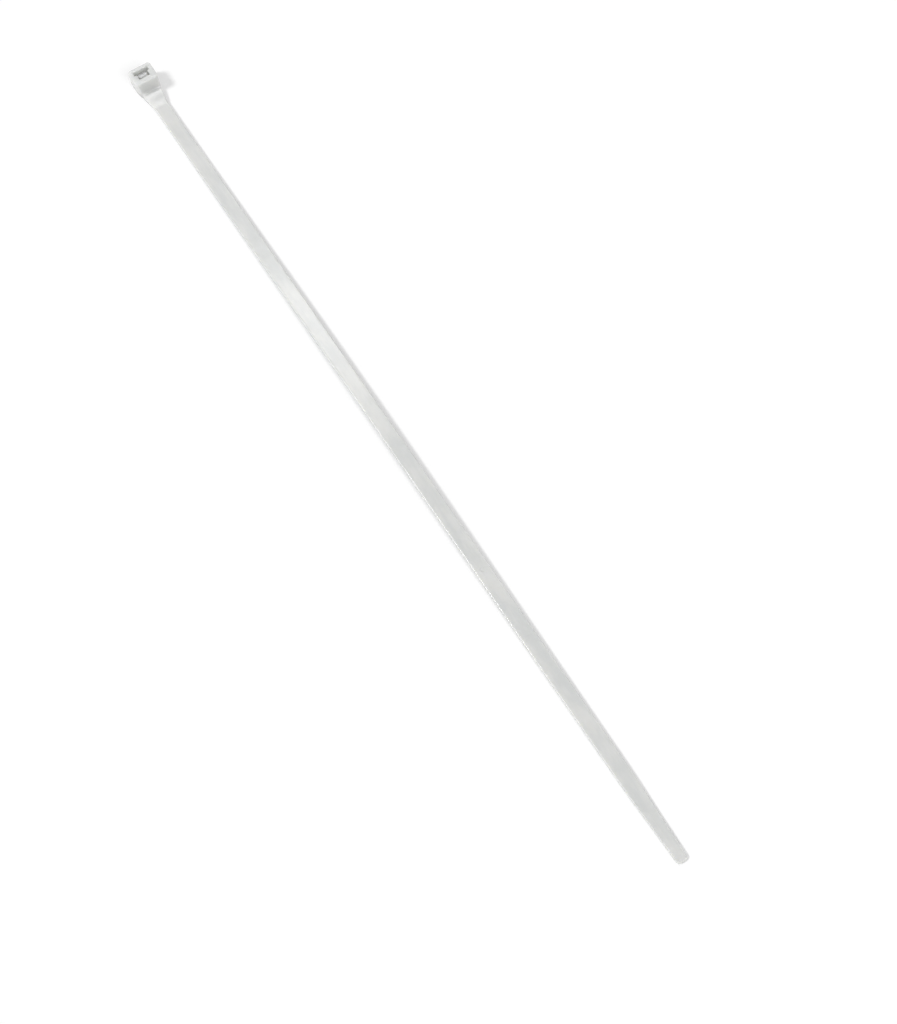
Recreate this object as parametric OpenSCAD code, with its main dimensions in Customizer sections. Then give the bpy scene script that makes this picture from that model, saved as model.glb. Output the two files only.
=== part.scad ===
// Cable tie, moulded in one shot of natural nylon: a self-locking head, a toothed strap and a thin tail.
// It lies with its teeth down. The origin is the middle of the locking slot at the face where the tail
// enters, +X runs along the strap to the tip, and +Z is the way the tail leaves the head.

/* [Strap] */
// Length over all, from the outer end of the head to the tip of the tail
tie_l = 300; // [120:1:380]
// Width of the strap
strap_w = 4.8; // [4.4:0.1:5.4]
// Thickness of the strap over its rails
strap_t = 1.3; // [1.1:0.05:1.5]
// Radius along the long edges of the strap
edge_r = 0.35; // [0.15:0.05:0.5]
// How far the middle of the strap bows up off the table
bow = 1; // [0:0.5:5]

/* [Rack] */
// Pitch of the teeth, on the strap and on the pawl alike
tooth_pitch = 1.1; // [1:0.05:1.2]
// Depth of a tooth from tip to root
tooth_d = 0.4; // [0.25:0.05:0.5]
// Length of the flat land on a tooth's tip
tooth_land = 0.2; // [0.1:0.05:0.3]
// How far the tips are sunk below the rails
tip_sink = 0.1; // [0.05:0.05:0.2]
// Width of each plain rail beside the teeth
rail_w = 0.75; // [0.5:0.05:0.9]
// Distance from the foot of the head to the first tooth
rack_lead = 8; // [4:0.5:20]
// Distance from the last tooth to the tip of the tail
rack_tail = 36; // [30:1:60]

/* [Neck] */
// Width of the neck where it leaves the head
neck_w = 6.6; // [5.8:0.1:7]
// Thickness of the neck where it leaves the head
neck_t = 1.9; // [1.6:0.1:2.4]
// Length over which the neck runs down to the strap
neck_l = 7; // [4:0.5:10]
// Radius in the corner between the neck and the head
neck_fillet = 0.8; // [0.4:0.1:1]

/* [Tail] */
// Width at the end of the tail
tail_w = 3.6; // [3:0.1:4.2]
// Thickness at the end of the tail
tail_t = 0.9; // [0.8:0.05:1]
// Length of the tail that narrows
taper_l = 24; // [16:1:28]
// Radius at the corners of the tip
tip_r = 1.2; // [0.8:0.1:1.4]
// Number of grip grooves across the underside of the tail
grip_count = 8; // [4:1:10]
// Pitch of the grip grooves
grip_pitch = 1.6; // [1.4:0.1:1.8]
// Depth of the grip grooves
grip_d = 0.16; // [0.08:0.02:0.2]
// Distance from the tip to the nearest grip groove
grip_inset = 4; // [2.5:0.5:6]

/* [Head] */
// Width of the head
head_w = 8; // [7.6:0.1:9]
// Length of the head at its foot
head_l = 7.7; // [7.4:0.1:8.6]
// Length of the head along its top
head_top_l = 6.6; // [6.3:0.1:7]
// Height of the head
head_h = 6; // [5.8:0.1:6.6]
// Thickness of the end wall that backs the strap as it locks
end_wall = 1.4; // [1.2:0.1:1.5]
// How far the end wall leans in over its height
end_draft = 0.15; // [0:0.05:0.3]
// Radius of the upright corners at the outer end
head_corner_r = 1.1; // [0.6:0.1:1.4]
// Radius along the top edges
head_edge_r = 0.5; // [0.2:0.1:0.7]
// Radius along the bottom edges
head_foot_r = 0.25; // [0.1:0.05:0.4]
// Radius of the gate well in the outer end
gate_r = 0.8; // [0.5:0.1:1]
// Depth of the gate well
gate_d = 0.2; // [0.1:0.05:0.3]
// Radius of the gate stub that is left in the well
stub_r = 0.35; // [0.2:0.05:0.4]

/* [Slot] */
// Clearance beside each edge of the strap in the slot
slot_side_gap = 0.2; // [0.1:0.05:0.3]
// Clearance over the thickness of the strap in the slot
throat_gap = 0.35; // [0.2:0.05:0.5]
// How far the entry flares on the end wall's side
flare = 0.55; // [0.3:0.05:0.7]
// Depth of the flare
flare_d = 0.8; // [0.4:0.1:1]
// Chamfer on the strap's side of the entry, where a tightened strap bends
lip = 0.3; // [0.1:0.05:0.4]
// Chamfer round the exit
exit_chamfer = 0.25; // [0.1:0.05:0.4]

/* [Pawl] */
// Number of teeth on the pawl
pawl_teeth = 3; // [2:1:3]
// Thickness of the pawl behind its teeth
pawl_t = 1.15; // [0.9:0.05:1.2]
// Thickness of the hinge that the pawl bends on
hinge_t = 0.55; // [0.4:0.05:0.7]
// Height of the hinge over the entry face
hinge_z = 1.15; // [1:0.05:1.3]
// Gap beside the pawl
pawl_side_gap = 0.4; // [0.3:0.05:0.5]
// Clearance between the pawl and the rails of a strap in the slot
rail_gap = 0.15; // [0.1:0.05:0.2]
// Clearance between the teeth of the pawl and of a strap that it holds
mesh_gap = 0.05; // [0.02:0.01:0.1]
// Room behind the pawl for it to bend back
flex_gap = 1; // [0.7:0.05:1.1]
// Depth of the pawl's top below the exit face
pawl_drop = 1; // [0.6:0.1:1.2]
// Height of the pawl's nose over its top tooth
nose_h = 0.3; // [0.2:0.05:0.4]

/* [Hidden] */
natural_nylon = [0.85, 0.855, 0.84];

// Steps in a rounded corner, and in each edge of the strap's section
corner_steps = 6;
edge_steps = 4;
// How far a cutter runs past the face that it opens
past = 0.5;
// How far one solid reaches into another that it is moulded with
root_in = 0.3;
// Ledge in front of the hinge, and the lean of a tooth's steep face over its depth
hinge_ledge = 0.12;
steep = 0.08;

// The slot, with the strap's middle plane at x = 0 when it stands in the throat
slot_w = strap_w + 2 * slot_side_gap;
throat = strap_t + throat_gap;
abut_x = -throat / 2;
guide_x = throat / 2;

// The head along X
head_out_x = abut_x - end_wall;
head_in_x = head_out_x + head_l;
head_top_x = head_out_x + head_top_l;
shoulder = (head_w - neck_w) / 2;

// The rack's channel and the pawl that works in it
channel_w = strap_w - 2 * rail_w;
pawl_w = channel_w - 2 * rail_gap;
pocket_w = pawl_w + 2 * pawl_side_gap;
root_z = tip_sink + tooth_d;

// With a strap's back on the end wall, the pawl's teeth reach the roots of its rack
pawl_tip_x = abut_x + strap_t - root_z + mesh_gap;
pawl_front_x = pawl_tip_x + tooth_d;
pawl_back_x = pawl_front_x + pawl_t;
pawl_top_z = head_h - pawl_drop;
tooth_top_z = pawl_top_z - nose_h;
hinge_front_x = guide_x + hinge_ledge;
hinge_back_x = hinge_front_x + hinge_t;

// The wall of the head over the neck leans back, and a fillet joins the two
wall_way = unit([head_top_x - head_in_x, head_h - neck_t]);
wall_angle = acos(wall_way[0]);
fillet_reach = neck_fillet / tan(wall_angle / 2);
fillet_out_x = head_in_x + fillet_reach;
fillet_in_x = head_in_x + wall_way[0] * fillet_reach;

// Stations along the strap
tip_x = head_out_x + tie_l;
neck_end_x = head_in_x + neck_l;
tip_arc_x = tip_x - tip_r;
taper_x = tip_x - taper_l;
rack_x = head_in_x + rack_lead;
rack_end_x = tip_x - rack_tail;
tooth_count = floor((rack_end_x - rack_x) / tooth_pitch);
strap_root_x = head_in_x - 1.2;
// Longest step between two stations of the sweep
station_l = 12;

function blend(t) = let (s = min(1, max(0, t))) s * s * (3 - 2 * s);
function mix(a, b, t) = a + (b - a) * t;
function unit(v) = v / norm(v);

// Height of the strap's underside: flat at the neck and along the tail, bowed between them
function base_z(x) =
    let (s = min(1, max(0, (x - neck_end_x) / (taper_x - neck_end_x))))
    bow * pow(sin(180 * s), 2);

function strap_width(x) =
    x < neck_end_x ? mix(neck_w, strap_w, blend((x - head_in_x) / neck_l)) :
    x < tip_arc_x ? mix(strap_w, tail_w, max(0, x - taper_x) / (tip_arc_x - taper_x)) :
    tail_w - 2 * tip_r + 2 * sqrt(max(0, pow(tip_r, 2) - pow(x - tip_arc_x, 2)));

// How far the fillet lifts the back of the neck at x
function fillet_rise(x) =
    neck_fillet - sqrt(pow(neck_fillet, 2) - pow(max(0, fillet_out_x - max(x, fillet_in_x)), 2));

function strap_thickness(x) =
    x < neck_end_x ? mix(neck_t, strap_t, blend((x - head_in_x) / neck_l)) + fillet_rise(x) :
    mix(strap_t, tail_t, blend((x - (tip_x - rack_tail)) / (rack_tail - taper_l / 2)));

// The strap's section at x, a rounded rectangle as [y, z] points
function section(x) =
    let (w = strap_width(x), t = strap_thickness(x), z = base_z(x), r = min(edge_r, 0.45 * t))
    let (y = w / 2 - r, low = z + r, high = z + t - r)
    let (centres = [[y, high], [-y, high], [-y, low], [y, low]])
    [for (i = [0:3]) for (j = [0:edge_steps])
        let (a = 90 * (i + j / edge_steps)) centres[i] + r * [cos(a), sin(a)]];

// An outline with each corner rounded by its own radius
function corner_arc(before, at, after, r) =
    let (u = unit(before - at), v = unit(after - at), half = acos(u * v) / 2)
    let (middle = at + unit(u + v) * r / sin(half), start = at + u * r / tan(half))
    let (turn = sign(cross(at - before, after - at)) * (180 - 2 * half))
    let (a = atan2(start[1] - middle[1], start[0] - middle[0]))
    [for (i = [0:corner_steps])
        let (b = a + turn * i / corner_steps) middle + r * [cos(b), sin(b)]];
function rounded(points, radii) =
    let (n = len(points))
    [for (i = [0:n - 1])
        each radii[i] > 0
            ? corner_arc(points[(i + n - 1) % n], points[i], points[(i + 1) % n], radii[i])
            : [points[i]]];

// A solid with its outline in the XZ plane, and one with its outline in the YZ plane
module across(w) {
    rotate([90, 0, 0]) linear_extrude(w, center = true) children();
}
module along(x, l) {
    translate([x, 0, 0]) rotate([90, 0, 90]) linear_extrude(l) children();
}

// The blank of the strap, swept through its stations from inside the head to the tip
module strap_blank() {
    fillet_steps = 4;
    neck_steps = 7;
    taper_steps = 5;
    tip_steps = 6;
    strap_steps = ceil((taper_x - neck_end_x) / station_l);
    stations = concat(
        [strap_root_x],
        [for (i = [0:fillet_steps - 1])
            fillet_out_x - neck_fillet * sin(mix(180 - wall_angle, 0, i / fillet_steps))],
        [for (i = [0:neck_steps - 1]) mix(fillet_out_x, neck_end_x, i / neck_steps)],
        [for (i = [0:strap_steps - 1]) mix(neck_end_x, taper_x, i / strap_steps)],
        [for (i = [0:taper_steps - 1]) mix(taper_x, tip_arc_x, i / taper_steps)],
        [for (i = [0:tip_steps]) tip_arc_x + tip_r * sin(90 * i / tip_steps)]
    );
    n = 4 * (edge_steps + 1);
    last = len(stations) - 1;
    points = [for (x = stations) for (p = section(x)) [x, p[0], p[1]]];
    skin = [for (i = [0:last - 1]) for (j = [0:n - 1])
        let (a = i * n + j, b = i * n + (j + 1) % n)
        each [[a, a + n, b], [b, a + n, b + n]]];
    ends = [[for (j = [0:n - 1]) j], [for (j = [n - 1:-1:0]) last * n + j]];
    polyhedron(points = points, faces = concat(skin, ends));
}

// The channel between the rails, with the rack as its roof: each tooth is steep towards the head,
// where the pawl bears on it, and runs out in a ramp towards the tail
module rack_channel() {
    profile = [for (k = [0:tooth_count - 1])
        let (x = rack_x + k * tooth_pitch)
        each [
            [x, base_z(x) + root_z],
            [x + steep, base_z(x) + tip_sink],
            [x + steep + tooth_land, base_z(x) + tip_sink]
        ]];
    end_x = rack_x + tooth_count * tooth_pitch;
    across(channel_w) polygon(concat(
        [[rack_x, -past]],
        profile,
        [[end_x, base_z(end_x) + root_z], [end_x, -past]]
    ));
}

// Grooves across the underside of the tail, for the fingers to hold as the tie is pulled tight
module tail_grip() {
    last_x = tip_x - grip_inset;
    first_x = last_x - (grip_count - 1) * grip_pitch;
    half = grip_pitch / 4;
    clear_z = -half / 10;
    grooves = [for (k = [0:grip_count - 1])
        let (x = first_x + k * grip_pitch)
        each [[x - half, clear_z], [x, base_z(x) + grip_d], [x + half, clear_z]]];
    across(strap_w + 2 * past) polygon(concat(
        [[first_x - 2 * half, -past], [first_x - 2 * half, clear_z]],
        grooves,
        [[last_x + 2 * half, clear_z], [last_x + 2 * half, -past]]
    ));
}

// The block of the head: its plan, side and end outlines, each with its own rounded corners
module head_block() {
    intersection() {
        linear_extrude(head_h) polygon(rounded([
            [head_out_x, -head_w / 2],
            [head_in_x - 2 * shoulder, -head_w / 2],
            [head_in_x, -neck_w / 2],
            [head_in_x, neck_w / 2],
            [head_in_x - 2 * shoulder, head_w / 2],
            [head_out_x, head_w / 2]
        ], [head_corner_r, shoulder, 0, 0, shoulder, head_corner_r]));
        across(head_w + 2 * past) polygon(rounded([
            [head_out_x, 0],
            [head_in_x, 0],
            [head_in_x, neck_t],
            [head_top_x, head_h],
            [head_out_x + end_draft, head_h]
        ], [head_foot_r, 0, 0, head_edge_r, head_edge_r]));
        along(head_out_x - past, head_l + 2 * past) polygon(rounded([
            [-head_w / 2, 0],
            [head_w / 2, 0],
            [head_w / 2, head_h],
            [-head_w / 2, head_h]
        ], [head_foot_r, head_foot_r, head_edge_r, head_edge_r]));
    }
}

// The way through the head for the tail, flared at the entry and chamfered at the exit
module strap_passage() {
    across(slot_w) polygon([
        [abut_x, -past],
        [guide_x, -past],
        [guide_x, head_h + past],
        [abut_x, head_h + past]
    ]);
    intersection() {
        across(head_w) polygon([
            [abut_x - flare * (1 + past / flare_d), -past],
            [guide_x + lip + past, -past],
            [guide_x, lip],
            [guide_x, flare_d],
            [abut_x, flare_d]
        ]);
        along(head_out_x, head_l) polygon([
            [-slot_w / 2 - flare * (1 + past / flare_d) / 2, -past],
            [slot_w / 2 + flare * (1 + past / flare_d) / 2, -past],
            [slot_w / 2, flare_d],
            [-slot_w / 2, flare_d]
        ]);
    }
    intersection() {
        across(head_w) polygon([
            [abut_x, head_h - exit_chamfer],
            [guide_x, head_h - exit_chamfer],
            [guide_x, head_h + past],
            [abut_x - exit_chamfer - past, head_h + past]
        ]);
        along(head_out_x, head_l) polygon([
            [-slot_w / 2, head_h - exit_chamfer],
            [slot_w / 2, head_h - exit_chamfer],
            [slot_w / 2 + exit_chamfer + past, head_h + past],
            [-slot_w / 2 - exit_chamfer - past, head_h + past]
        ]);
    }
}

// The pocket that the pawl stands in, open to the exit, with room behind the pawl for it to bend back
module pawl_pocket() {
    across(pocket_w) polygon([
        [0, hinge_z],
        [hinge_back_x + flex_gap / 2, hinge_z],
        [pawl_back_x + flex_gap, hinge_z + pawl_t],
        [pawl_back_x + flex_gap, head_h - exit_chamfer],
        [pawl_back_x + flex_gap + exit_chamfer + past, head_h + past],
        [0, head_h + past]
    ]);
}

// The pawl: a tongue on a thin hinge at its foot, with teeth that point to the exit
module pawl() {
    teeth = [for (k = [0:pawl_teeth - 1])
        let (z = tooth_top_z - k * tooth_pitch)
        each [
            [pawl_front_x, z],
            [pawl_tip_x, z],
            [pawl_tip_x, z - tooth_land]
        ]];
    last_z = tooth_top_z - pawl_teeth * tooth_pitch;
    across(pawl_w) polygon(concat(
        [[pawl_back_x - pawl_t / 3, pawl_top_z], [pawl_front_x + pawl_t / 6, pawl_top_z]],
        teeth,
        [
            [pawl_front_x, max(last_z, hinge_z + root_in)],
            [hinge_front_x, hinge_z + root_in / 2],
            [hinge_front_x, hinge_z - root_in],
            [hinge_back_x, hinge_z - root_in],
            [hinge_back_x, hinge_z + root_in / 2],
            [pawl_back_x, hinge_z + pawl_t],
            [pawl_back_x, pawl_top_z - pawl_t / 3]
        ]
    ));
}

// The well in the outer end where the nylon was fed in, with the stub of the gate
module gate_well() {
    difference() {
        translate([head_out_x - past, 0, head_h / 2]) rotate([0, 90, 0])
            cylinder(r = gate_r, h = past + gate_d + end_draft / 2, $fn = 48);
        translate([head_out_x - past, 0, head_h / 2]) rotate([0, 90, 0])
            cylinder(r = stub_r, h = 2 * past + gate_d, $fn = 32);
    }
}

module cable_tie() {
    color(natural_nylon) union() {
        difference() {
            head_block();
            strap_passage();
            pawl_pocket();
            gate_well();
        }
        pawl();
        difference() {
            strap_blank();
            rack_channel();
            tail_grip();
        }
    }
}

cable_tie();
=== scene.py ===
import math

import bmesh
import bpy
import numpy as np
from mathutils import Matrix, Vector


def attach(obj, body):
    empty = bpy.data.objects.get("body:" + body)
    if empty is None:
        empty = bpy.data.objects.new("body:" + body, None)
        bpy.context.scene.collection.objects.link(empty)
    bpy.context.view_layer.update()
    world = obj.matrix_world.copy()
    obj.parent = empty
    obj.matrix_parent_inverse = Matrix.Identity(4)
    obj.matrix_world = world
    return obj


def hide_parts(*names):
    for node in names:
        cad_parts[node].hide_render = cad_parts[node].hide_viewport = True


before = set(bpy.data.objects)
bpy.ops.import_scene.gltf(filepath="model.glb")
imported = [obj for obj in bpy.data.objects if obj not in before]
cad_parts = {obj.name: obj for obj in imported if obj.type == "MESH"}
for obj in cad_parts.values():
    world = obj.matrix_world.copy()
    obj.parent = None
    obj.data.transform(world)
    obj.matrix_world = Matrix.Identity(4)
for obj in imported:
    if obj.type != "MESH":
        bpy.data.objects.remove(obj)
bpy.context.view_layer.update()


# THE STRAP
# A long flat band of nylon, moulded in one shot with the head. Its back is smooth, its long edges are
# rounded, and it bows a little up off the table between the neck and the tail. Sizes are in millimetres.

MM = 0.001
TIE_L = 300.0
STRAP_W = 4.8
STRAP_T = 1.3
EDGE_R = 0.35
BOW = 1.0
HEAD_OUT_X = -2.225
HEAD_IN_X = 5.475
TIP_X = HEAD_OUT_X + TIE_L

NECK_W = 6.6
NECK_T = 1.9
NECK_END_X = HEAD_IN_X + 7.0
NECK_FILLET = 0.8
PAST_NECK = 0.35

TAIL_W = 3.6
TAIL_T = 0.9
TIP_R = 1.2
TIP_ARC_X = TIP_X - TIP_R
TAPER_X = TIP_X - 24.0
THINNING_X = TIP_X - 36.0
TAIL_THIN_X = TIP_X - 12.0


def ease(t):
    t = np.clip(t, 0.0, 1.0)
    return t * t * (3.0 - 2.0 * t)


def mix(a, b, t):
    return a + (b - a) * t


def rest_z(x):
    """Height of the underside: flat at the neck and the tail, bowed between them."""
    share = np.clip((x - NECK_END_X) / (TAPER_X - NECK_END_X), 0.0, 1.0)
    return BOW * np.sin(math.pi * share) ** 2


def strap_half_width(x):
    neck = mix(NECK_W, STRAP_W, ease((x - HEAD_IN_X) / (NECK_END_X - HEAD_IN_X)))
    tail = mix(STRAP_W, TAIL_W, np.clip((x - TAPER_X) / (TIP_ARC_X - TAPER_X), 0.0, 1.0))
    return np.where(x < NECK_END_X, neck, tail) / 2.0


def strap_thickness(x):
    neck = mix(NECK_T, STRAP_T, ease((x - HEAD_IN_X) / (NECK_END_X - HEAD_IN_X)))
    tail = mix(STRAP_T, TAIL_T, ease((x - THINNING_X) / (TAIL_THIN_X - THINNING_X)))
    return np.where(x < NECK_END_X, neck, tail)


# Half of the strap's section, from the middle of its underside round its edge to the middle of its back.
# Points on the flats are shares of the flat's half width, and points on the edge are turns of its radius.
LIP_Y = 1.73
FLAT_HALF = STRAP_W / 2.0 - EDGE_R
FLAT_SHARES = [0.0, 0.9 / FLAT_HALF, 1.55 / FLAT_HALF, 1.61 / FLAT_HALF, 1.66 / FLAT_HALF,
               LIP_Y / FLAT_HALF, 1.9 / FLAT_HALF, 1.0]
LIP_AT = 5
RAIL_AT = 6
EDGE_TURNS = 5


def half_section(x, half, normal, thick, groove=0.0):
    """Points of half the section: x and half are on the outline, which faces normal in plan."""
    radius = min(EDGE_R, 0.45 * thick)
    points = []
    for share in FLAT_SHARES:
        points.append((x - radius * normal[0], share * (half - radius * normal[1]), 0.0))
    for step in range(1, EDGE_TURNS + 1):
        turn = 0.5 * math.pi * step / EDGE_TURNS
        inset = radius * (1.0 - math.sin(turn))
        points.append((x - inset * normal[0], half - inset * normal[1], radius * (1.0 - math.cos(turn))))
    low = [(px, py, max(pz, groove)) for px, py, pz in points]
    high = [(px, py, thick - pz) for px, py, pz in reversed(points)]
    return low + high


def whole_section(x, half, normal, thick, groove=0.0):
    """The closed section at rest height, from the middle of the underside round by +Y."""
    side = np.array(half_section(x, half, normal, thick, groove))
    other = side[-2:0:-1] * (1.0, -1.0, 1.0)
    ring = np.vstack([side, other])
    ring[:, 2] += rest_z(ring[:, 0])
    return ring


# THE RACK
# Saw teeth across the underside, sunk between two plain rails. Each is steep towards the head, where
# the pawl bears on it, and runs out in a ramp towards the tail. The cutter that made the mould left
# small radii in the roots and on the tips.

TOOTH_PITCH = 1.1
TIP_SINK = 0.1
ROOT_D = 0.5
TOOTH_LAND = 0.2
STEEP = 0.08
RACK_X = HEAD_IN_X + 8.0
TOOTH_COUNT = int((THINNING_X - RACK_X) / TOOTH_PITCH)
RACK_END_X = RACK_X + TOOTH_COUNT * TOOTH_PITCH
CHANNEL_END_LEAN = 0.06
PLAIN_LEAD = 0.3
ROOT_R = 0.07
CREST_R = 0.045
CREST_BACK_R = 0.15
LAST_ROOT_R = 0.05
CHANNEL_LIP_R = 0.03
# How deep the channel is at each of the first points of the section, as a share of the tooth's depth
WALL_SHARES = [1.0, 1.0, 1.0, 0.86, 0.12, 0.0]


def corner_arc(before, at, after, radius, steps):
    """Points of the arc that rounds the corner at one point of an outline."""
    u = (before - at) / np.linalg.norm(before - at)
    v = (after - at) / np.linalg.norm(after - at)
    half = math.acos(max(-1.0, min(1.0, float(u @ v)))) / 2.0
    middle = at + (u + v) / np.linalg.norm(u + v) * radius / math.sin(half)
    first = at + u * radius / math.tan(half) - middle
    turn = math.copysign(math.pi - 2.0 * half, float((at - before)[0] * (after - at)[1]
                                                    - (at - before)[1] * (after - at)[0]))
    arc = []
    for i in range(steps + 1):
        c, s = math.cos(turn * i / steps), math.sin(turn * i / steps)
        arc.append(middle + (c * first[0] - s * first[1], s * first[0] + c * first[1]))
    return arc


def rack_profile():
    """Points along the rack as x and depth, and the places among them where a whole section stands.

    The corners are given as x, depth and radius before they are rounded.
    """
    sharp = [(RACK_X - PLAIN_LEAD, 0.0, 0.0), (RACK_X - CHANNEL_END_LEAN, 0.0, CHANNEL_LIP_R)]
    for k in range(TOOTH_COUNT):
        x = RACK_X + k * TOOTH_PITCH
        sharp.append((x, ROOT_D, ROOT_R))
        sharp.append((x + STEEP, TIP_SINK, CREST_R))
        sharp.append((x + STEEP + TOOTH_LAND, TIP_SINK, CREST_BACK_R))
    sharp.append((RACK_END_X, ROOT_D, LAST_ROOT_R))
    sharp.append((RACK_END_X + CHANNEL_END_LEAN, 0.0, CHANNEL_LIP_R))
    sharp.append((RACK_END_X + PLAIN_LEAD, 0.0, 0.0))
    corners = np.array(sharp)
    path = [corners[0, :2]]
    stands = [0]
    for i in range(1, len(corners) - 1):
        root = corners[i, 1] == ROOT_D
        steps = 4 if root else 2
        arc = corner_arc(corners[i - 1, :2], corners[i, :2], corners[i + 1, :2], corners[i, 2], steps)
        if root:
            stands.append(len(path) + steps // 2)
        path.extend(arc)
    stands.append(len(path))
    path.append(corners[-1, :2])
    return np.array(path), stands


# THE TAIL
# The strap narrows and thins to a rounded tip that is easy to thread. Shallow grooves across its
# underside give the fingers hold as the tie is pulled tight.

GRIP_COUNT = 8
GRIP_PITCH = 1.6
GRIP_D = 0.16
GRIP_LAST_X = TIP_X - 4.0
GRIP_FIRST_X = GRIP_LAST_X - (GRIP_COUNT - 1) * GRIP_PITCH
GRIP_HALF = GRIP_PITCH / 4.0
GRIP_STEPS = 6
TIP_TURNS = 10


def grip_groove(x):
    place = np.clip((x - GRIP_FIRST_X) / GRIP_PITCH, 0.0, GRIP_COUNT - 1.0)
    away = abs(x - (GRIP_FIRST_X + round(float(place)) * GRIP_PITCH))
    return GRIP_D * (1.0 + math.cos(math.pi * min(away / GRIP_HALF, 1.0))) / 2.0


def tail_stations():
    """Where the sections of the tail stand, as x, half width and the way the outline faces."""
    plain = list(np.linspace(RACK_END_X + PLAIN_LEAD, TAPER_X, 10)[1:])
    plain += list(np.linspace(TAPER_X, GRIP_FIRST_X - GRIP_HALF, 8)[1:])
    for k in range(GRIP_COUNT):
        centre = GRIP_FIRST_X + k * GRIP_PITCH
        groove = list(np.linspace(centre - GRIP_HALF, centre + GRIP_HALF, GRIP_STEPS + 1))
        plain += groove[1:] if k == 0 else groove
    plain += list(np.linspace(plain[-1], TIP_ARC_X, 4)[1:])
    stations = [(x, float(strap_half_width(x)), (0.0, 1.0)) for x in plain]
    for step in range(1, TIP_TURNS + 1):
        turn = 0.5 * math.pi * step / TIP_TURNS
        stations.append((TIP_ARC_X + TIP_R * math.sin(turn),
                         TAIL_W / 2.0 - TIP_R + TIP_R * math.cos(turn),
                         (math.sin(turn), math.cos(turn))))
    return stations


class Skin:
    """Points and faces of the moulding as they are gathered, in millimetres."""

    def __init__(self):
        self.points = []
        self.faces = []

    def add(self, points):
        """Adds points and returns their numbers."""
        first = len(self.points)
        self.points.extend(tuple(float(c) for c in p) for p in points)
        return list(range(first, len(self.points)))

    def band(self, one, two):
        """Squares between two rows of as many points."""
        for a, b, c, d in zip(one, one[1:], two[1:], two):
            self.faces.append((a, b, c, d))

    def fan(self, hub, row):
        """Triangles from one point to a row of points."""
        for a, b in zip(row, row[1:]):
            self.faces.append((hub, a, b))


def build_strap(skin, start_x):
    """The whole strap from start_x to the tip. Returns the numbers of its first section."""
    path, stands = rack_profile()
    before = list(np.linspace(start_x, NECK_END_X, 16)) + [NECK_END_X + PAST_NECK]
    rings = []
    for x in before:
        rings.append(skin.add(whole_section(x, float(strap_half_width(x)), (0.0, 1.0),
                                            float(strap_thickness(x)))))
    count = len(rings[0])
    under = list(range(count - LIP_AT, count)) + list(range(LIP_AT + 1))
    around = list(range(RAIL_AT, count - RAIL_AT + 1))

    # Each tooth has one whole section in its root, and its own finer rows across the channel
    rows = []
    shares = np.array(WALL_SHARES[:0:-1] + WALL_SHARES)
    for number, (x, depth) in enumerate(path):
        section = whole_section(x, STRAP_W / 2.0, (0.0, 1.0), float(strap_thickness(x)))
        section[under, 2] += depth * shares
        if number in stands:
            ring = skin.add(section)
            rings.append(ring)
            rows.append([ring[i] for i in under])
        else:
            rows.append(skin.add(section[under]))
    for one, two in zip(rows, rows[1:]):
        skin.band(one, two)

    for x, half, normal in tail_stations():
        rings.append(skin.add(whole_section(x, half, normal, float(strap_thickness(x)), grip_groove(x))))

    first_rack = len(before)
    last_rack = first_rack + len(stands) - 1
    for number, (one, two) in enumerate(zip(rings, rings[1:])):
        if first_rack <= number < last_rack:
            skin.band([one[i] for i in around], [two[i] for i in around])
            span = rows[stands[number - first_rack]:stands[number - first_rack + 1] + 1]
            for rail, lip in ((RAIL_AT, -1), (count - RAIL_AT, 0)):
                edge = [row[lip] for row in span]
                half = len(edge) // 2
                skin.fan(one[rail], edge[:half + 1])
                skin.faces.append((one[rail], edge[half], two[rail]))
                skin.fan(two[rail], edge[half:])
        else:
            skin.band(one + one[:1], two + two[:1])

    # The end face of the tip, with its edges rounded over
    last = rings[-1]
    top = count // 2
    flat = len(FLAT_SHARES) - 1
    left = last[flat:top - flat + 1]
    right = [last[(count - i) % count] for i in range(flat, top - flat + 1)]
    skin.band(left[1:-1], right[1:-1])
    skin.faces.append(tuple(last[-flat:] + last[:flat + 1]) + (left[1], right[1]))
    skin.faces.append(tuple(last[top - flat:top + flat + 1]) + (right[-2], left[-2]))
    return rings[0]


# THE HEAD
# A box moulded on the end of the strap, 8 mm wide and 6 mm high. The tail goes up through its slot, past
# the pawl. Its walls have a little draft, its edges are rounded, and the gate left its mark in a shallow
# well in the outer end. Each form is a field that is below zero inside it, so its edges can be rounded.

HEAD_W = 8.0
HEAD_H = 6.0
HEAD_TOP_X = HEAD_OUT_X + 6.6
END_DRAFT = 0.15
HEAD_CORNER_R = 1.1
HEAD_EDGE_R = 0.5
HEAD_FOOT_R = 0.25
WALL_EDGE_R = 0.3
SHOULDER = (HEAD_W - NECK_W) / 2.0
SHOULDER_SLOPE = 0.5
ROOT_X = HEAD_IN_X - 1.2
ROOT_BLEND_R = 0.2

ABUT_X = -0.825
GUIDE_X = 0.825
SLOT_HALF = 2.6
SLOT_CORNER_R = 0.12
FLARE = 0.55
FLARE_D = 0.8
LIP = 0.3
EXIT_CHAMFER = 0.25
CUT_EDGE_R = 0.1

HINGE_Z = 1.15
PAWL_TIP_X = 0.025
PAWL_FRONT_X = 0.425
PAWL_BACK_X = 1.575
PAWL_T = 1.15
FLEX_GAP = 1.0
POCKET_HALF = 1.9
POCKET_EDGE_R = 0.15

GATE_R = 0.8
GATE_D = 0.2
STUB_R = 0.33
STUB_SINK = 0.06
STUB_FOOT_R = 0.05
TORN_D = 0.02
GATE_EDGE_R = 0.06

CORNER_STEPS = 4


def meet(a, b, radius):
    """What is inside both fields, with the edge between them rounded."""
    edge = np.hypot(np.maximum(a + radius, 0.0), np.maximum(b + radius, 0.0))
    return np.minimum(np.maximum(a, b), -radius) + edge


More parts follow.
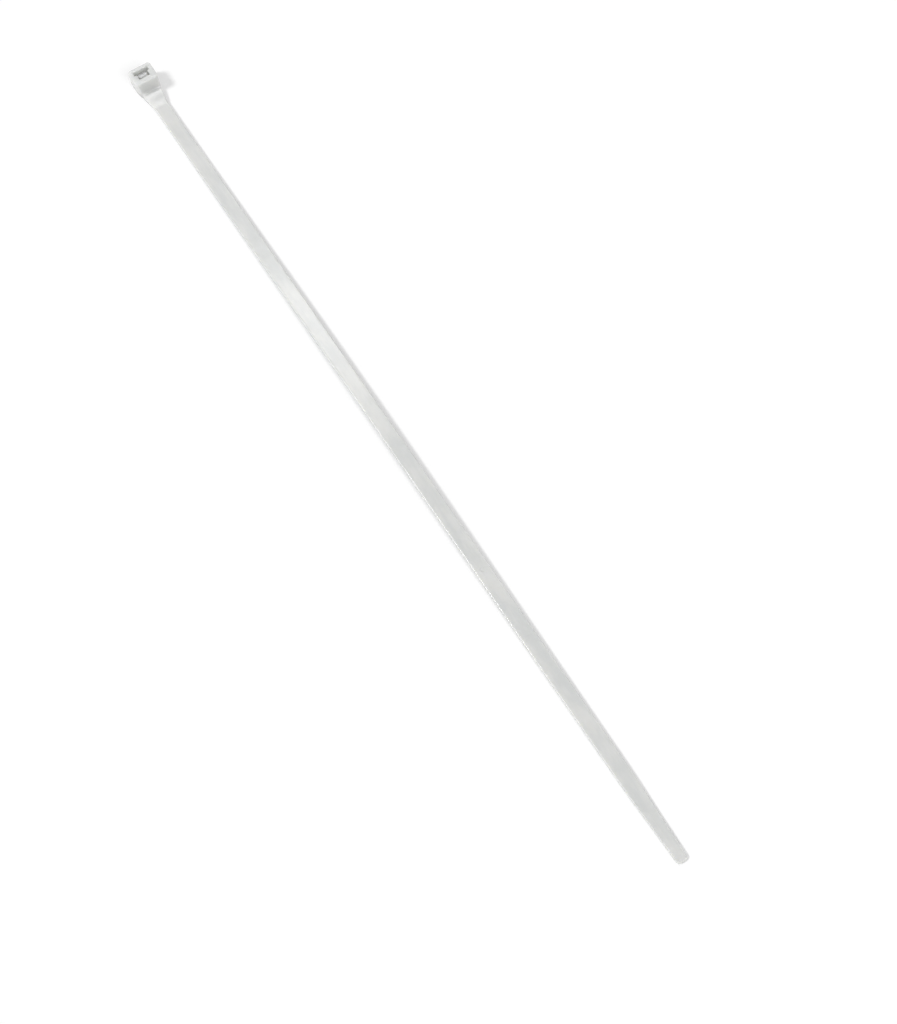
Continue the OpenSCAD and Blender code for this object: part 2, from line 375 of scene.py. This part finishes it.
def join(a, b, radius):
    """What is inside either field, with the corner between them filled."""
    return -meet(-a, -b, radius)


def rounded_outline(corners):
    """A closed outline from corners given as x, z and radius."""
    points = np.array(corners)[:, :2]
    outline = []
    for i, (_, _, radius) in enumerate(corners):
        if radius > 0.0:
            after = points[(i + 1) % len(points)]
            outline.extend(corner_arc(points[i - 1], points[i], after, radius, CORNER_STEPS))
        else:
            outline.append(points[i])
    return np.array(outline)


def outline_field(outline, x, z):
    """Distance from an outline in the XZ plane, below zero inside it."""
    nearest = np.full(np.broadcast(x, z).shape, np.inf)
    inside = np.zeros(nearest.shape, bool)
    for (ax, az), (bx, bz) in zip(outline, np.roll(outline, -1, axis=0)):
        along = ((x - ax) * (bx - ax) + (z - az) * (bz - az)) / ((bx - ax) ** 2 + (bz - az) ** 2)
        along = np.clip(along, 0.0, 1.0)
        nearest = np.minimum(nearest, np.hypot(x - mix(ax, bx, along), z - mix(az, bz, along)))
        if az != bz:
            inside ^= ((az > z) != (bz > z)) & (x < ax + (z - az) / (bz - az) * (bx - ax))
    return np.where(inside, -nearest, nearest)


def head_block(x, y, z):
    """The box of the head, with its leaning wall over the neck and its shoulders beside it."""
    wall_dx = HEAD_TOP_X - HEAD_IN_X
    wall_dz = HEAD_H - NECK_T
    outer = HEAD_OUT_X + END_DRAFT * z / HEAD_H - x
    wall = ((x - HEAD_IN_X) * wall_dz - (z - NECK_T) * wall_dx) / math.hypot(wall_dx, wall_dz)
    wall = np.maximum(wall, x - HEAD_IN_X)
    shoulder = (x - HEAD_IN_X) * SHOULDER_SLOPE + np.abs(y) - NECK_W / 2.0
    shoulder = shoulder / math.hypot(SHOULDER_SLOPE, 1.0)
    plan = meet(np.abs(y) - HEAD_W / 2.0, outer, HEAD_CORNER_R)
    plan = meet(plan, shoulder, SHOULDER)
    body = meet(plan, wall, WALL_EDGE_R)
    body = meet(body, z - HEAD_H, HEAD_EDGE_R)
    return meet(body, -z, HEAD_FOOT_R)


def strap_passage(x, y, z):
    """The way through for the tail: the slot, its flared entry and its chamfered exit."""
    over_x = np.abs(x) - GUIDE_X + SLOT_CORNER_R
    over_y = np.abs(y) - SLOT_HALF + SLOT_CORNER_R
    slot = np.hypot(np.maximum(over_x, 0.0), np.maximum(over_y, 0.0))
    slot = slot + np.minimum(np.maximum(over_x, over_y), 0.0) - SLOT_CORNER_R

    rise = FLARE * (1.0 - z / FLARE_D)
    back = (ABUT_X - rise - x) / math.hypot(1.0, FLARE / FLARE_D)
    sides = (np.abs(y) - SLOT_HALF - rise / 2.0) / math.hypot(1.0, FLARE / FLARE_D / 2.0)
    front = np.minimum(x - GUIDE_X, (x + z - GUIDE_X - LIP) / math.sqrt(2.0))
    entry = np.maximum(meet(np.maximum(back, front), sides, SLOT_CORNER_R), z - FLARE_D)

    above = z - (HEAD_H - EXIT_CHAMFER)
    back = (ABUT_X - above - x) / math.sqrt(2.0)
    sides = (np.abs(y) - SLOT_HALF - above) / math.sqrt(2.0)
    leave = np.maximum(meet(np.maximum(back, x - GUIDE_X), sides, SLOT_CORNER_R), -above)
    return np.minimum(slot, np.minimum(entry, leave))


POCKET_OUTLINE = rounded_outline([
    (0.0, HINGE_Z, 0.0),
    (PAWL_BACK_X + 0.42, HINGE_Z, 0.3),
    (PAWL_BACK_X + FLEX_GAP, HINGE_Z + PAWL_T, 0.5),
    (PAWL_BACK_X + FLEX_GAP, HEAD_H - EXIT_CHAMFER, 0.0),
    (PAWL_BACK_X + FLEX_GAP + 2.0, HEAD_H - EXIT_CHAMFER + 2.0, 0.0),
    (0.0, HEAD_H + 2.0, 0.0),
])


def gate_well(x, y, z):
    """The well in the outer end, and the torn stub of nylon that is left standing in it."""
    face = HEAD_OUT_X + END_DRAFT * z / HEAD_H
    across = np.hypot(y, z - HEAD_H / 2.0)
    well = np.maximum(across - GATE_R, x - face - GATE_D)
    torn = TORN_D * np.sin(7.0 * y + 2.0) * np.sin(8.0 * z)
    length = np.maximum(face + STUB_SINK + torn - x, x - face - 2.0 * GATE_D)
    stub = meet(across - STUB_R, length, GATE_EDGE_R)
    return well, stub


# THE PAWL
# A tongue of the same nylon on a thin moulded hinge at its foot, with three teeth of the rack's own pitch
# that point to the exit. It bends back into its pocket as each tooth of the strap passes.

PAWL_HALF = 1.5
PAWL_TOP_Z = HEAD_H - 1.0
TOOTH_TOP_Z = PAWL_TOP_Z - 0.3
HINGE_FRONT_X = GUIDE_X + 0.12
HINGE_BACK_X = HINGE_FRONT_X + 0.55
PAWL_TEETH = 3
PAWL_EDGE_R = 0.1
PAWL_FOOT_R = 0.08

pawl_corners = [
    (PAWL_BACK_X - PAWL_T / 3.0, PAWL_TOP_Z, 0.12),
    (PAWL_FRONT_X + PAWL_T / 6.0, PAWL_TOP_Z, 0.08),
]
for number in range(PAWL_TEETH):
    tooth_z = TOOTH_TOP_Z - number * TOOTH_PITCH
    pawl_corners += [
        (PAWL_FRONT_X, tooth_z, 0.05),
        (PAWL_TIP_X, tooth_z, 0.04),
        (PAWL_TIP_X, tooth_z - TOOTH_LAND, 0.06),
    ]
pawl_corners += [
    (PAWL_FRONT_X, max(TOOTH_TOP_Z - PAWL_TEETH * TOOTH_PITCH, HINGE_Z + 0.3), 0.04),
    (HINGE_FRONT_X, HINGE_Z + 0.15, 0.08),
    (HINGE_FRONT_X, HINGE_Z - 0.3, 0.0),
    (HINGE_BACK_X, HINGE_Z - 0.3, 0.0),
    (HINGE_BACK_X, HINGE_Z + 0.15, 0.15),
    (PAWL_BACK_X, HINGE_Z + PAWL_T, 0.4),
    (PAWL_BACK_X, PAWL_TOP_Z - PAWL_T / 3.0, 0.2),
]
PAWL_OUTLINE = rounded_outline(pawl_corners)


def neck_field(x, y, z):
    """The strap where it leaves the head, thickened by the fillet under the leaning wall."""
    wall_angle = math.atan2(HEAD_H - NECK_T, HEAD_TOP_X - HEAD_IN_X)
    reach = NECK_FILLET / math.tan(wall_angle / 2.0)
    out_x = HEAD_IN_X + reach
    in_x = HEAD_IN_X + math.cos(wall_angle) * reach
    behind = np.maximum(0.0, out_x - np.maximum(x, in_x))
    rise = NECK_FILLET - np.sqrt(np.maximum(NECK_FILLET ** 2 - behind ** 2, 0.0))
    thick = strap_thickness(x) + rise
    over_y = np.abs(y) - strap_half_width(x) + EDGE_R
    over_z = np.abs(z - thick / 2.0) - thick / 2.0 + EDGE_R
    section = np.hypot(np.maximum(over_y, 0.0), np.maximum(over_z, 0.0))
    section = section + np.minimum(np.maximum(over_y, over_z), 0.0) - EDGE_R
    return np.maximum(section, ROOT_X - x)


def head_field(x, y, z):
    """The head with its slot, pocket, pawl and gate well, and the strap that leaves it."""
    pocket = meet(outline_field(POCKET_OUTLINE, x, z), np.abs(y) - POCKET_HALF, POCKET_EDGE_R)
    pawl = meet(outline_field(PAWL_OUTLINE, x, z), np.abs(y) - PAWL_HALF, PAWL_EDGE_R)
    well, stub = gate_well(x, y, z)
    head = meet(head_block(x, y, z), -np.minimum(strap_passage(x, y, z), pocket), CUT_EDGE_R)
    head = join(meet(head, -well, GATE_EDGE_R), stub, STUB_FOOT_R)
    head = join(head, pawl, PAWL_FOOT_R)
    return np.maximum(join(head, neck_field(x, y, z), ROOT_BLEND_R), -z)


def graded(*stops):
    """Grid lines through the stops, which are given as a place and the step from there on."""
    lines = [stops[0][0]]
    for (start, step), (end, _) in zip(stops, stops[1:]):
        count = max(1, round((end - start) / step))
        lines.extend(start + (end - start) * (i + 1) / count for i in range(count))
    return np.array(lines)


# How points are drawn on to the surface: in a few short pulls, shorter where the field is nearly flat
PULLS = 5
LONGEST_PULL = 0.05
LEAST_SLOPE_SQUARED = 0.25


def pulled_on(field, points, fixed_x=False):
    """Moves points along the field's slope until they lie on its zero level."""
    small = 1e-4
    for _ in range(PULLS):
        value = field(*points.T)
        slope = np.zeros_like(points)
        for axis in range(1 if fixed_x else 0, 3):
            step = np.zeros(3)
            step[axis] = small
            slope[:, axis] = (field(*(points + step).T) - field(*(points - step).T)) / (2.0 * small)
        move = value / np.maximum((slope ** 2).sum(1), LEAST_SLOPE_SQUARED)
        points = points - np.clip(move, -LONGEST_PULL, LONGEST_PULL)[:, None] * slope
    return points


def field_skin(skin, field, lines):
    """Adds the zero level of a field as squares, one point to each cell that it passes through."""
    grid = np.meshgrid(*lines, indexing="ij", sparse=True)
    value = np.broadcast_to(field(*grid), [len(line) for line in lines])
    inside = value < 0.0
    shape = tuple(n - 1 for n in value.shape)

    def corner(array, i, j, k):
        return array[i:i + shape[0], j:j + shape[1], k:k + shape[2]]

    places = [(i, j, k) for i in (0, 1) for j in (0, 1) for k in (0, 1)]
    filled = sum(corner(inside, *place).astype(int) for place in places)
    cells = np.argwhere((filled > 0) & (filled < 8))
    total = np.zeros((len(cells), 3))
    number = np.zeros(len(cells))
    for axis in range(3):
        for place in places:
            if place[axis]:
                continue
            low = cells + place
            high = low.copy()
            high[:, axis] += 1
            a = value[tuple(low.T)]
            b = value[tuple(high.T)]
            crosses = (a < 0.0) != (b < 0.0)
            share = np.where(crosses, a / np.where(crosses, a - b, 1.0), 0.0)
            for other in range(3):
                start = lines[other][low[:, other]]
                end = lines[other][high[:, other]]
                total[:, other] += np.where(crosses, mix(start, end, share), 0.0)
            number += crosses
    points = pulled_on(field, total / number[:, None])
    numbers = np.full(shape, -1)
    numbers[tuple(cells.T)] = skin.add(points)

    for axis in range(3):
        u, v = [other for other in range(3) if other != axis]
        change = np.diff(inside.astype(int), axis=axis)
        edges = np.argwhere(change != 0)
        free = (edges[:, u] > 0) & (edges[:, u] < shape[u]) & (edges[:, v] > 0) & (edges[:, v] < shape[v])
        for edge in edges[free]:
            around = []
            for back_u, back_v in ((1, 1), (0, 1), (0, 0), (1, 0)):
                cell = edge.copy()
                cell[u] -= back_u
                cell[v] -= back_v
                around.append(int(numbers[tuple(cell)]))
            skin.faces.append(tuple(around))


def open_loop(skin):
    """The numbers of the points along the open edge of the faces so far."""
    uses = {}
    for face in skin.faces:
        for a, b in zip(face, face[1:] + face[:1]):
            uses[frozenset((a, b))] = uses.get(frozenset((a, b)), 0) + 1
    return sorted({n for edge, used in uses.items() if used == 1 for n in edge})


def zip_rings(skin, one, two, turn):
    """Triangles between two rings of points, matched by how far round turn says that each point is."""
    first, second = (sorted((turn(*skin.points[n]), n) for n in ring) for ring in (one, two))
    i = j = 0
    while i < len(first) or j < len(second):
        next_i = first[(i + 1) % len(first)][0] + (2.0 * math.pi if i + 1 >= len(first) else 0.0)
        next_j = second[(j + 1) % len(second)][0] + (2.0 * math.pi if j + 1 >= len(second) else 0.0)
        a, b = first[i % len(first)][1], second[j % len(second)][1]
        if j >= len(second) or (i < len(first) and next_i < next_j):
            skin.faces.append((a, first[(i + 1) % len(first)][1], b))
            i += 1
        else:
            skin.faces.append((a, second[(j + 1) % len(second)][1], b))
            j += 1


# THE PIN MARK
# An ejector pin pushed the tie out of the mould and left a shallow round hollow in the back of the strap,
# about two thirds of the way to the tip.

PIN_X = 200.0
PIN_R = 0.75
PIN_D = 0.05
# The wall of the hollow from its rim in, as how far it is from the middle and its share of the depth
PIN_WALL = [(PIN_R + 0.06, 0.0), (PIN_R + 0.02, 0.12), (PIN_R - 0.03, 0.5),
            (PIN_R - 0.08, 0.88), (PIN_R - 0.13, 1.0)]
PIN_TURNS = 32


def sink_pin_mark(skin):
    """Puts the hollow in place of the squares round the middle point of the back that is nearest to it."""
    middle = [n for n, (x, y, z) in enumerate(skin.points)
              if abs(y) < 1e-9 and x > NECK_END_X and z > rest_z(x) + STRAP_T / 2.0]
    hub = min(middle, key=lambda n: abs(skin.points[n][0] - PIN_X))
    hub_x, _, hub_z = skin.points[hub]
    rim = {n for face in skin.faces if hub in face for n in face} - {hub}
    skin.faces = [face for face in skin.faces if hub not in face]
    circles = []
    for away, share in PIN_WALL:
        xs = [hub_x + away * math.cos(2.0 * math.pi * i / PIN_TURNS) for i in range(PIN_TURNS)]
        ys = [away * math.sin(2.0 * math.pi * i / PIN_TURNS) for i in range(PIN_TURNS)]
        back = [float(rest_z(x)) + STRAP_T - PIN_D * share for x in xs]
        circles.append(skin.add(zip(xs, ys, back)))
    zip_rings(skin, rim, circles[0], lambda x, y, z: math.atan2(y, x - hub_x))
    for one, two in zip(circles, circles[1:]):
        skin.band(one + one[:1], two + two[:1])
    skin.points[hub] = (hub_x, 0.0, hub_z - PIN_D)
    skin.fan(hub, circles[-1] + circles[-1][:1])
    return hub_x, hub_z


# THE MOULDING
# The head and the strap come out of the mould as one piece of nylon, so they are one closed skin: the
# head's ends in the neck, and the strap's is sewn on to it there. It stands for the whole tie.

SEAM_GAP = 0.15
# The grid that the head is found on, finer where its edges and radii are
HEAD_LINES = [
    graded((-2.33, 0.08), (-1.5, 0.08), (-0.6, 0.12), (-0.02, 0.065), (0.45, 0.1), (0.78, 0.06), (1.0, 0.1),
           (1.42, 0.06), (1.66, 0.12), (2.4, 0.07), (2.96, 0.18), (4.1, 0.1), (5.7, 0.16), (7.23, 0.16)),
    graded((-4.07, 0.08), (-3.1, 0.16), (-2.75, 0.07), (-2.5, 0.12), (-2.0, 0.07), (-1.38, 0.2),
           (1.38, 0.07), (2.0, 0.12), (2.5, 0.07), (2.75, 0.16), (3.1, 0.08), (4.07, 0.08)),
    graded((-0.061, 0.075), (1.0, 0.085), (5.0, 0.09), (5.4, 0.07), (6.065, 0.07)),
]

skin = Skin()
field_skin(skin, head_field, HEAD_LINES)
seam = open_loop(skin)
seam_x = (HEAD_LINES[0][-1] + HEAD_LINES[0][-2]) / 2.0
held = np.array([skin.points[n] for n in seam])
held[:, 0] = seam_x
for number, point in zip(seam, pulled_on(head_field, held, fixed_x=True)):
    skin.points[number] = tuple(float(c) for c in point)
strap_start = build_strap(skin, seam_x + SEAM_GAP)
seam_z = float(strap_thickness(seam_x)) / 2.0
seam_y = float(strap_half_width(seam_x))
zip_rings(skin, seam, strap_start, lambda x, y, z: math.atan2((z - seam_z) / seam_z, y / seam_y))
pin_x, pin_z = sink_pin_mark(skin)

mesh = bpy.data.meshes.new("tie_moulding")
mesh.from_pydata([tuple(c * MM for c in p) for p in skin.points], [], skin.faces)
work = bmesh.new()
work.from_mesh(mesh)
bmesh.ops.recalc_face_normals(work, faces=work.faces)
work.to_mesh(mesh)
work.free()
for face in mesh.polygons:
    face.use_smooth = True
tie = bpy.data.objects.new("tie_moulding", mesh)
bpy.context.scene.collection.objects.link(tie)
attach(tie, "root")
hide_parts("cable_tie")


# THE NYLON
# Natural nylon straight from the mould, with no colour added: milky and faintly green-grey, it lets some
# light through where it is thin. Its skin is satin, with faint lines of flow along the strap.


class Wire:
    """An output of a shader node. Sums on it add Math nodes to the same material."""

    def __init__(self, tree, socket=None):
        self.tree = tree
        self.socket = socket

    def node(self, kind, settings=None, inputs=None, output=0):
        """Adds a node: first its settings, then a value or a wire for each named socket."""
        made = self.tree.nodes.new(kind)
        for name, value in (settings or {}).items():
            setattr(made, name, value)
        for name, value in (inputs or {}).items():
            if isinstance(value, Wire):
                self.tree.links.new(value.socket, made.inputs[name])
            else:
                made.inputs[name].default_value = value
        return Wire(self.tree, made.outputs[output]) if made.outputs else None

    def math(self, operation, *terms):
        return self.node("ShaderNodeMath", {"operation": operation}, dict(enumerate(terms)))

    def __add__(self, other):
        return self.math("ADD", self, other)

    def __sub__(self, other):
        return self.math("SUBTRACT", self, other)

    def __rsub__(self, other):
        return self.math("SUBTRACT", other, self)

    def __mul__(self, other):
        return self.math("MULTIPLY", self, other)

    __radd__ = __add__
    __rmul__ = __mul__


MILK = (0.715, 0.717, 0.704, 1.0)
CLEAR = (0.655, 0.665, 0.658, 1.0)
HEAD_REACH = 4.0
STRAP_REACH = 0.8
SKIN_RELIEF = 0.02
# How far the ring of painted shade at the wall of the pin's mark pulls the colour towards the darker tone
PIN_SHADE_STRENGTH = 1.6

nylon = bpy.data.materials.new("natural_nylon")
nylon.use_nodes = True
nylon.node_tree.nodes.clear()
bench = Wire(nylon.node_tree)
place = bench.node("ShaderNodeTexCoord", output=3)


def stretched(x, y, z):
    """The place on the tie, stretched by so much along each axis."""
    return bench.node("ShaderNodeVectorMath", {"operation": "MULTIPLY"}, {0: place, 1: (x, y, z)})


cloud = bench.node("ShaderNodeTexNoise", {}, {
    "Vector": stretched(90.0, 240.0, 240.0), "Scale": 1.0, "Detail": 3.0, "Roughness": 0.55})
flow = bench.node("ShaderNodeTexNoise", {}, {
    "Vector": stretched(70.0, 2600.0, 2600.0), "Scale": 1.0, "Detail": 2.0, "Roughness": 0.5})
grain = bench.node("ShaderNodeTexNoise", {}, {
    "Vector": stretched(5200.0, 5200.0, 5200.0), "Scale": 1.0, "Detail": 2.0, "Roughness": 0.6})
milkiness = bench.node("ShaderNodeMapRange", {"interpolation_type": "SMOOTHSTEP"}, {
    "Value": cloud * 0.8 + flow * 0.2, "From Min": 0.36, "From Max": 0.64})
# Painted shade: a thin ring round the wall of the pin's mark pulls the colour towards the darker CLEAR tone
from_pin = bench.node("ShaderNodeVectorMath", {"operation": "DISTANCE"}, {
    0: place, 1: (pin_x * MM, 0.0, pin_z * MM)}, output=1)
pin_wall = bench.node("ShaderNodeMapRange", {"interpolation_type": "SMOOTHSTEP"}, {
    "Value": from_pin, "From Min": (PIN_R - 0.16) * MM, "From Max": (PIN_R + 0.08) * MM})
pin_wall_shade = pin_wall * (1.0 - pin_wall)

# The nylon's own milky and clearer tones at random, darkened by the ring of painted shade round the pin's
# mark
tint = bench.node("ShaderNodeMix", {"data_type": "RGBA"}, {
    0: milkiness - pin_wall_shade * PIN_SHADE_STRENGTH, 6: CLEAR, 7: MILK}, output=2)
relief = bench.node("ShaderNodeBump", {}, {
    "Strength": 0.25, "Distance": SKIN_RELIEF * MM, "Height": flow * 0.6 + grain * 0.4})


def lit_through(reach):
    """Nylon in which light wanders about reach millimetres before it comes out again."""
    return bench.node("ShaderNodeBsdfPrincipled", {"subsurface_method": "RANDOM_WALK"}, {
        "Base Color": tint,
        "Roughness": flow * 0.12 + grain * 0.06 + 0.10,
        "IOR": 1.53,
        "Subsurface Weight": 1.0,
        "Subsurface Radius": (1.0, 1.0, 0.94),
        "Subsurface Scale": reach * MM,
        "Normal": relief,
    })


# The thick head glows from inside more than the thin strap does, and the neck leads from one to the other
along = bench.node("ShaderNodeSeparateXYZ", {}, {"Vector": place}, output=0)
in_strap = bench.node("ShaderNodeMapRange", {"interpolation_type": "SMOOTHSTEP"}, {
    "Value": along, "From Min": HEAD_IN_X * MM, "From Max": NECK_END_X * MM})
surface = bench.node("ShaderNodeMixShader", {}, {
    0: in_strap, 1: lit_through(HEAD_REACH), 2: lit_through(STRAP_REACH)})
bench.node("ShaderNodeOutputMaterial", {}, {"Surface": surface})
mesh.materials.append(nylon)


# THE TABLE
# A plain white table that the tie lies on, lit softly from the left of the picture and the near side.
# What the camera sees of it is white, and the tie keeps its shadow there.

FLOOR_Z = -0.05 * MM
FLOOR_HALF = 3.0
FLOOR_WHITE = 0.8
LIFT = 0.205
AMBIENT = 0.53


def looked_at(bench):
    """1 on the rays that the camera sees, straight or by a reflection or through glass, and 0 on others."""
    straight, mirrored, through = (bench.node("ShaderNodeLightPath", output=port) for port in (0, 3, 6))
    return bench.math("MAXIMUM", straight, bench.math("MAXIMUM", mirrored, through))


table = bpy.data.materials.new("white_table")
table.use_nodes = True
table.node_tree.nodes.clear()
bench = Wire(table.node_tree)
sheen = bench.node("ShaderNodeBsdfDiffuse", {}, {"Color": (FLOOR_WHITE, FLOOR_WHITE, FLOOR_WHITE, 1.0)})
glow = bench.node("ShaderNodeEmission", {}, {
    "Color": (1.0, 1.0, 1.0, 1.0), "Strength": looked_at(bench) * LIFT})
floor_surface = bench.node("ShaderNodeAddShader", {}, {0: sheen, 1: glow})
bench.node("ShaderNodeOutputMaterial", {}, {"Surface": floor_surface})

floor_mesh = bpy.data.meshes.new("table_top")
floor_corners = [(x * FLOOR_HALF, y * FLOOR_HALF, FLOOR_Z) for x, y in ((-1, -1), (1, -1), (1, 1), (-1, 1))]
floor_mesh.from_pydata(floor_corners, [], [(0, 1, 2, 3)])
floor_mesh.materials.append(table)
floor = bpy.data.objects.new("table_top", floor_mesh)
bpy.context.scene.collection.objects.link(floor)

world = bpy.data.worlds.new("studio")
world.use_nodes = True
world.node_tree.nodes.clear()
bpy.context.scene.world = world
bench = Wire(world.node_tree)
sky = bench.node("ShaderNodeBackground", {}, {
    "Color": (1.0, 1.0, 1.0, 1.0), "Strength": looked_at(bench) * (1.0 - AMBIENT) + AMBIENT})
bench.node("ShaderNodeOutputWorld", {}, {"Surface": sky})


def soft_light(name, towards, spread, share):
    """A far soft lamp, spread degrees across, that lights the table with a share of full white."""
    way = Vector(towards).normalized()
    lamp = bpy.data.lights.new(name, "SUN")
    lamp.angle = math.radians(spread)
    lamp.energy = share * math.pi / way.z
    holder = bpy.data.objects.new(name, lamp)
    holder.matrix_world = Matrix.LocRotScale(way, way.to_track_quat("Z", "Y"), None)
    bpy.context.scene.collection.objects.link(holder)


soft_light("key_light", (-0.24, -0.58, 0.77), 14.0, 0.34)
soft_light("top_light", (-0.4475, 0.1705, 0.878), 7.0, 0.03)
soft_light("fill_light", (0.75, 0.10, 0.65), 24.0, 0.11)


# THE CAMERA
# It looks down on the tie from the tail's side, so that the head is at the upper left and the tail,
# a little nearer, at the lower right.

CAMERA_AT = Vector((0.2987, -0.0757, 0.3897))
LOOKS_TOWARDS = math.radians(146.92)
LOOKS_DOWN = math.radians(70.0)

view = bpy.data.cameras.new("camera")
view.sensor_width = 36.0
view.lens = 50.0
view.clip_start = 0.01
view.clip_end = 20.0
camera = bpy.data.objects.new("camera", view)
forward = Vector((math.cos(LOOKS_TOWARDS) * math.cos(LOOKS_DOWN),
                  math.sin(LOOKS_TOWARDS) * math.cos(LOOKS_DOWN),
                  -math.sin(LOOKS_DOWN)))
camera.matrix_world = Matrix.LocRotScale(CAMERA_AT, forward.to_track_quat("-Z", "Y"), None)
bpy.context.scene.collection.objects.link(camera)
bpy.context.scene.camera = camera
bpy.context.scene.view_settings.view_transform = "Standard"
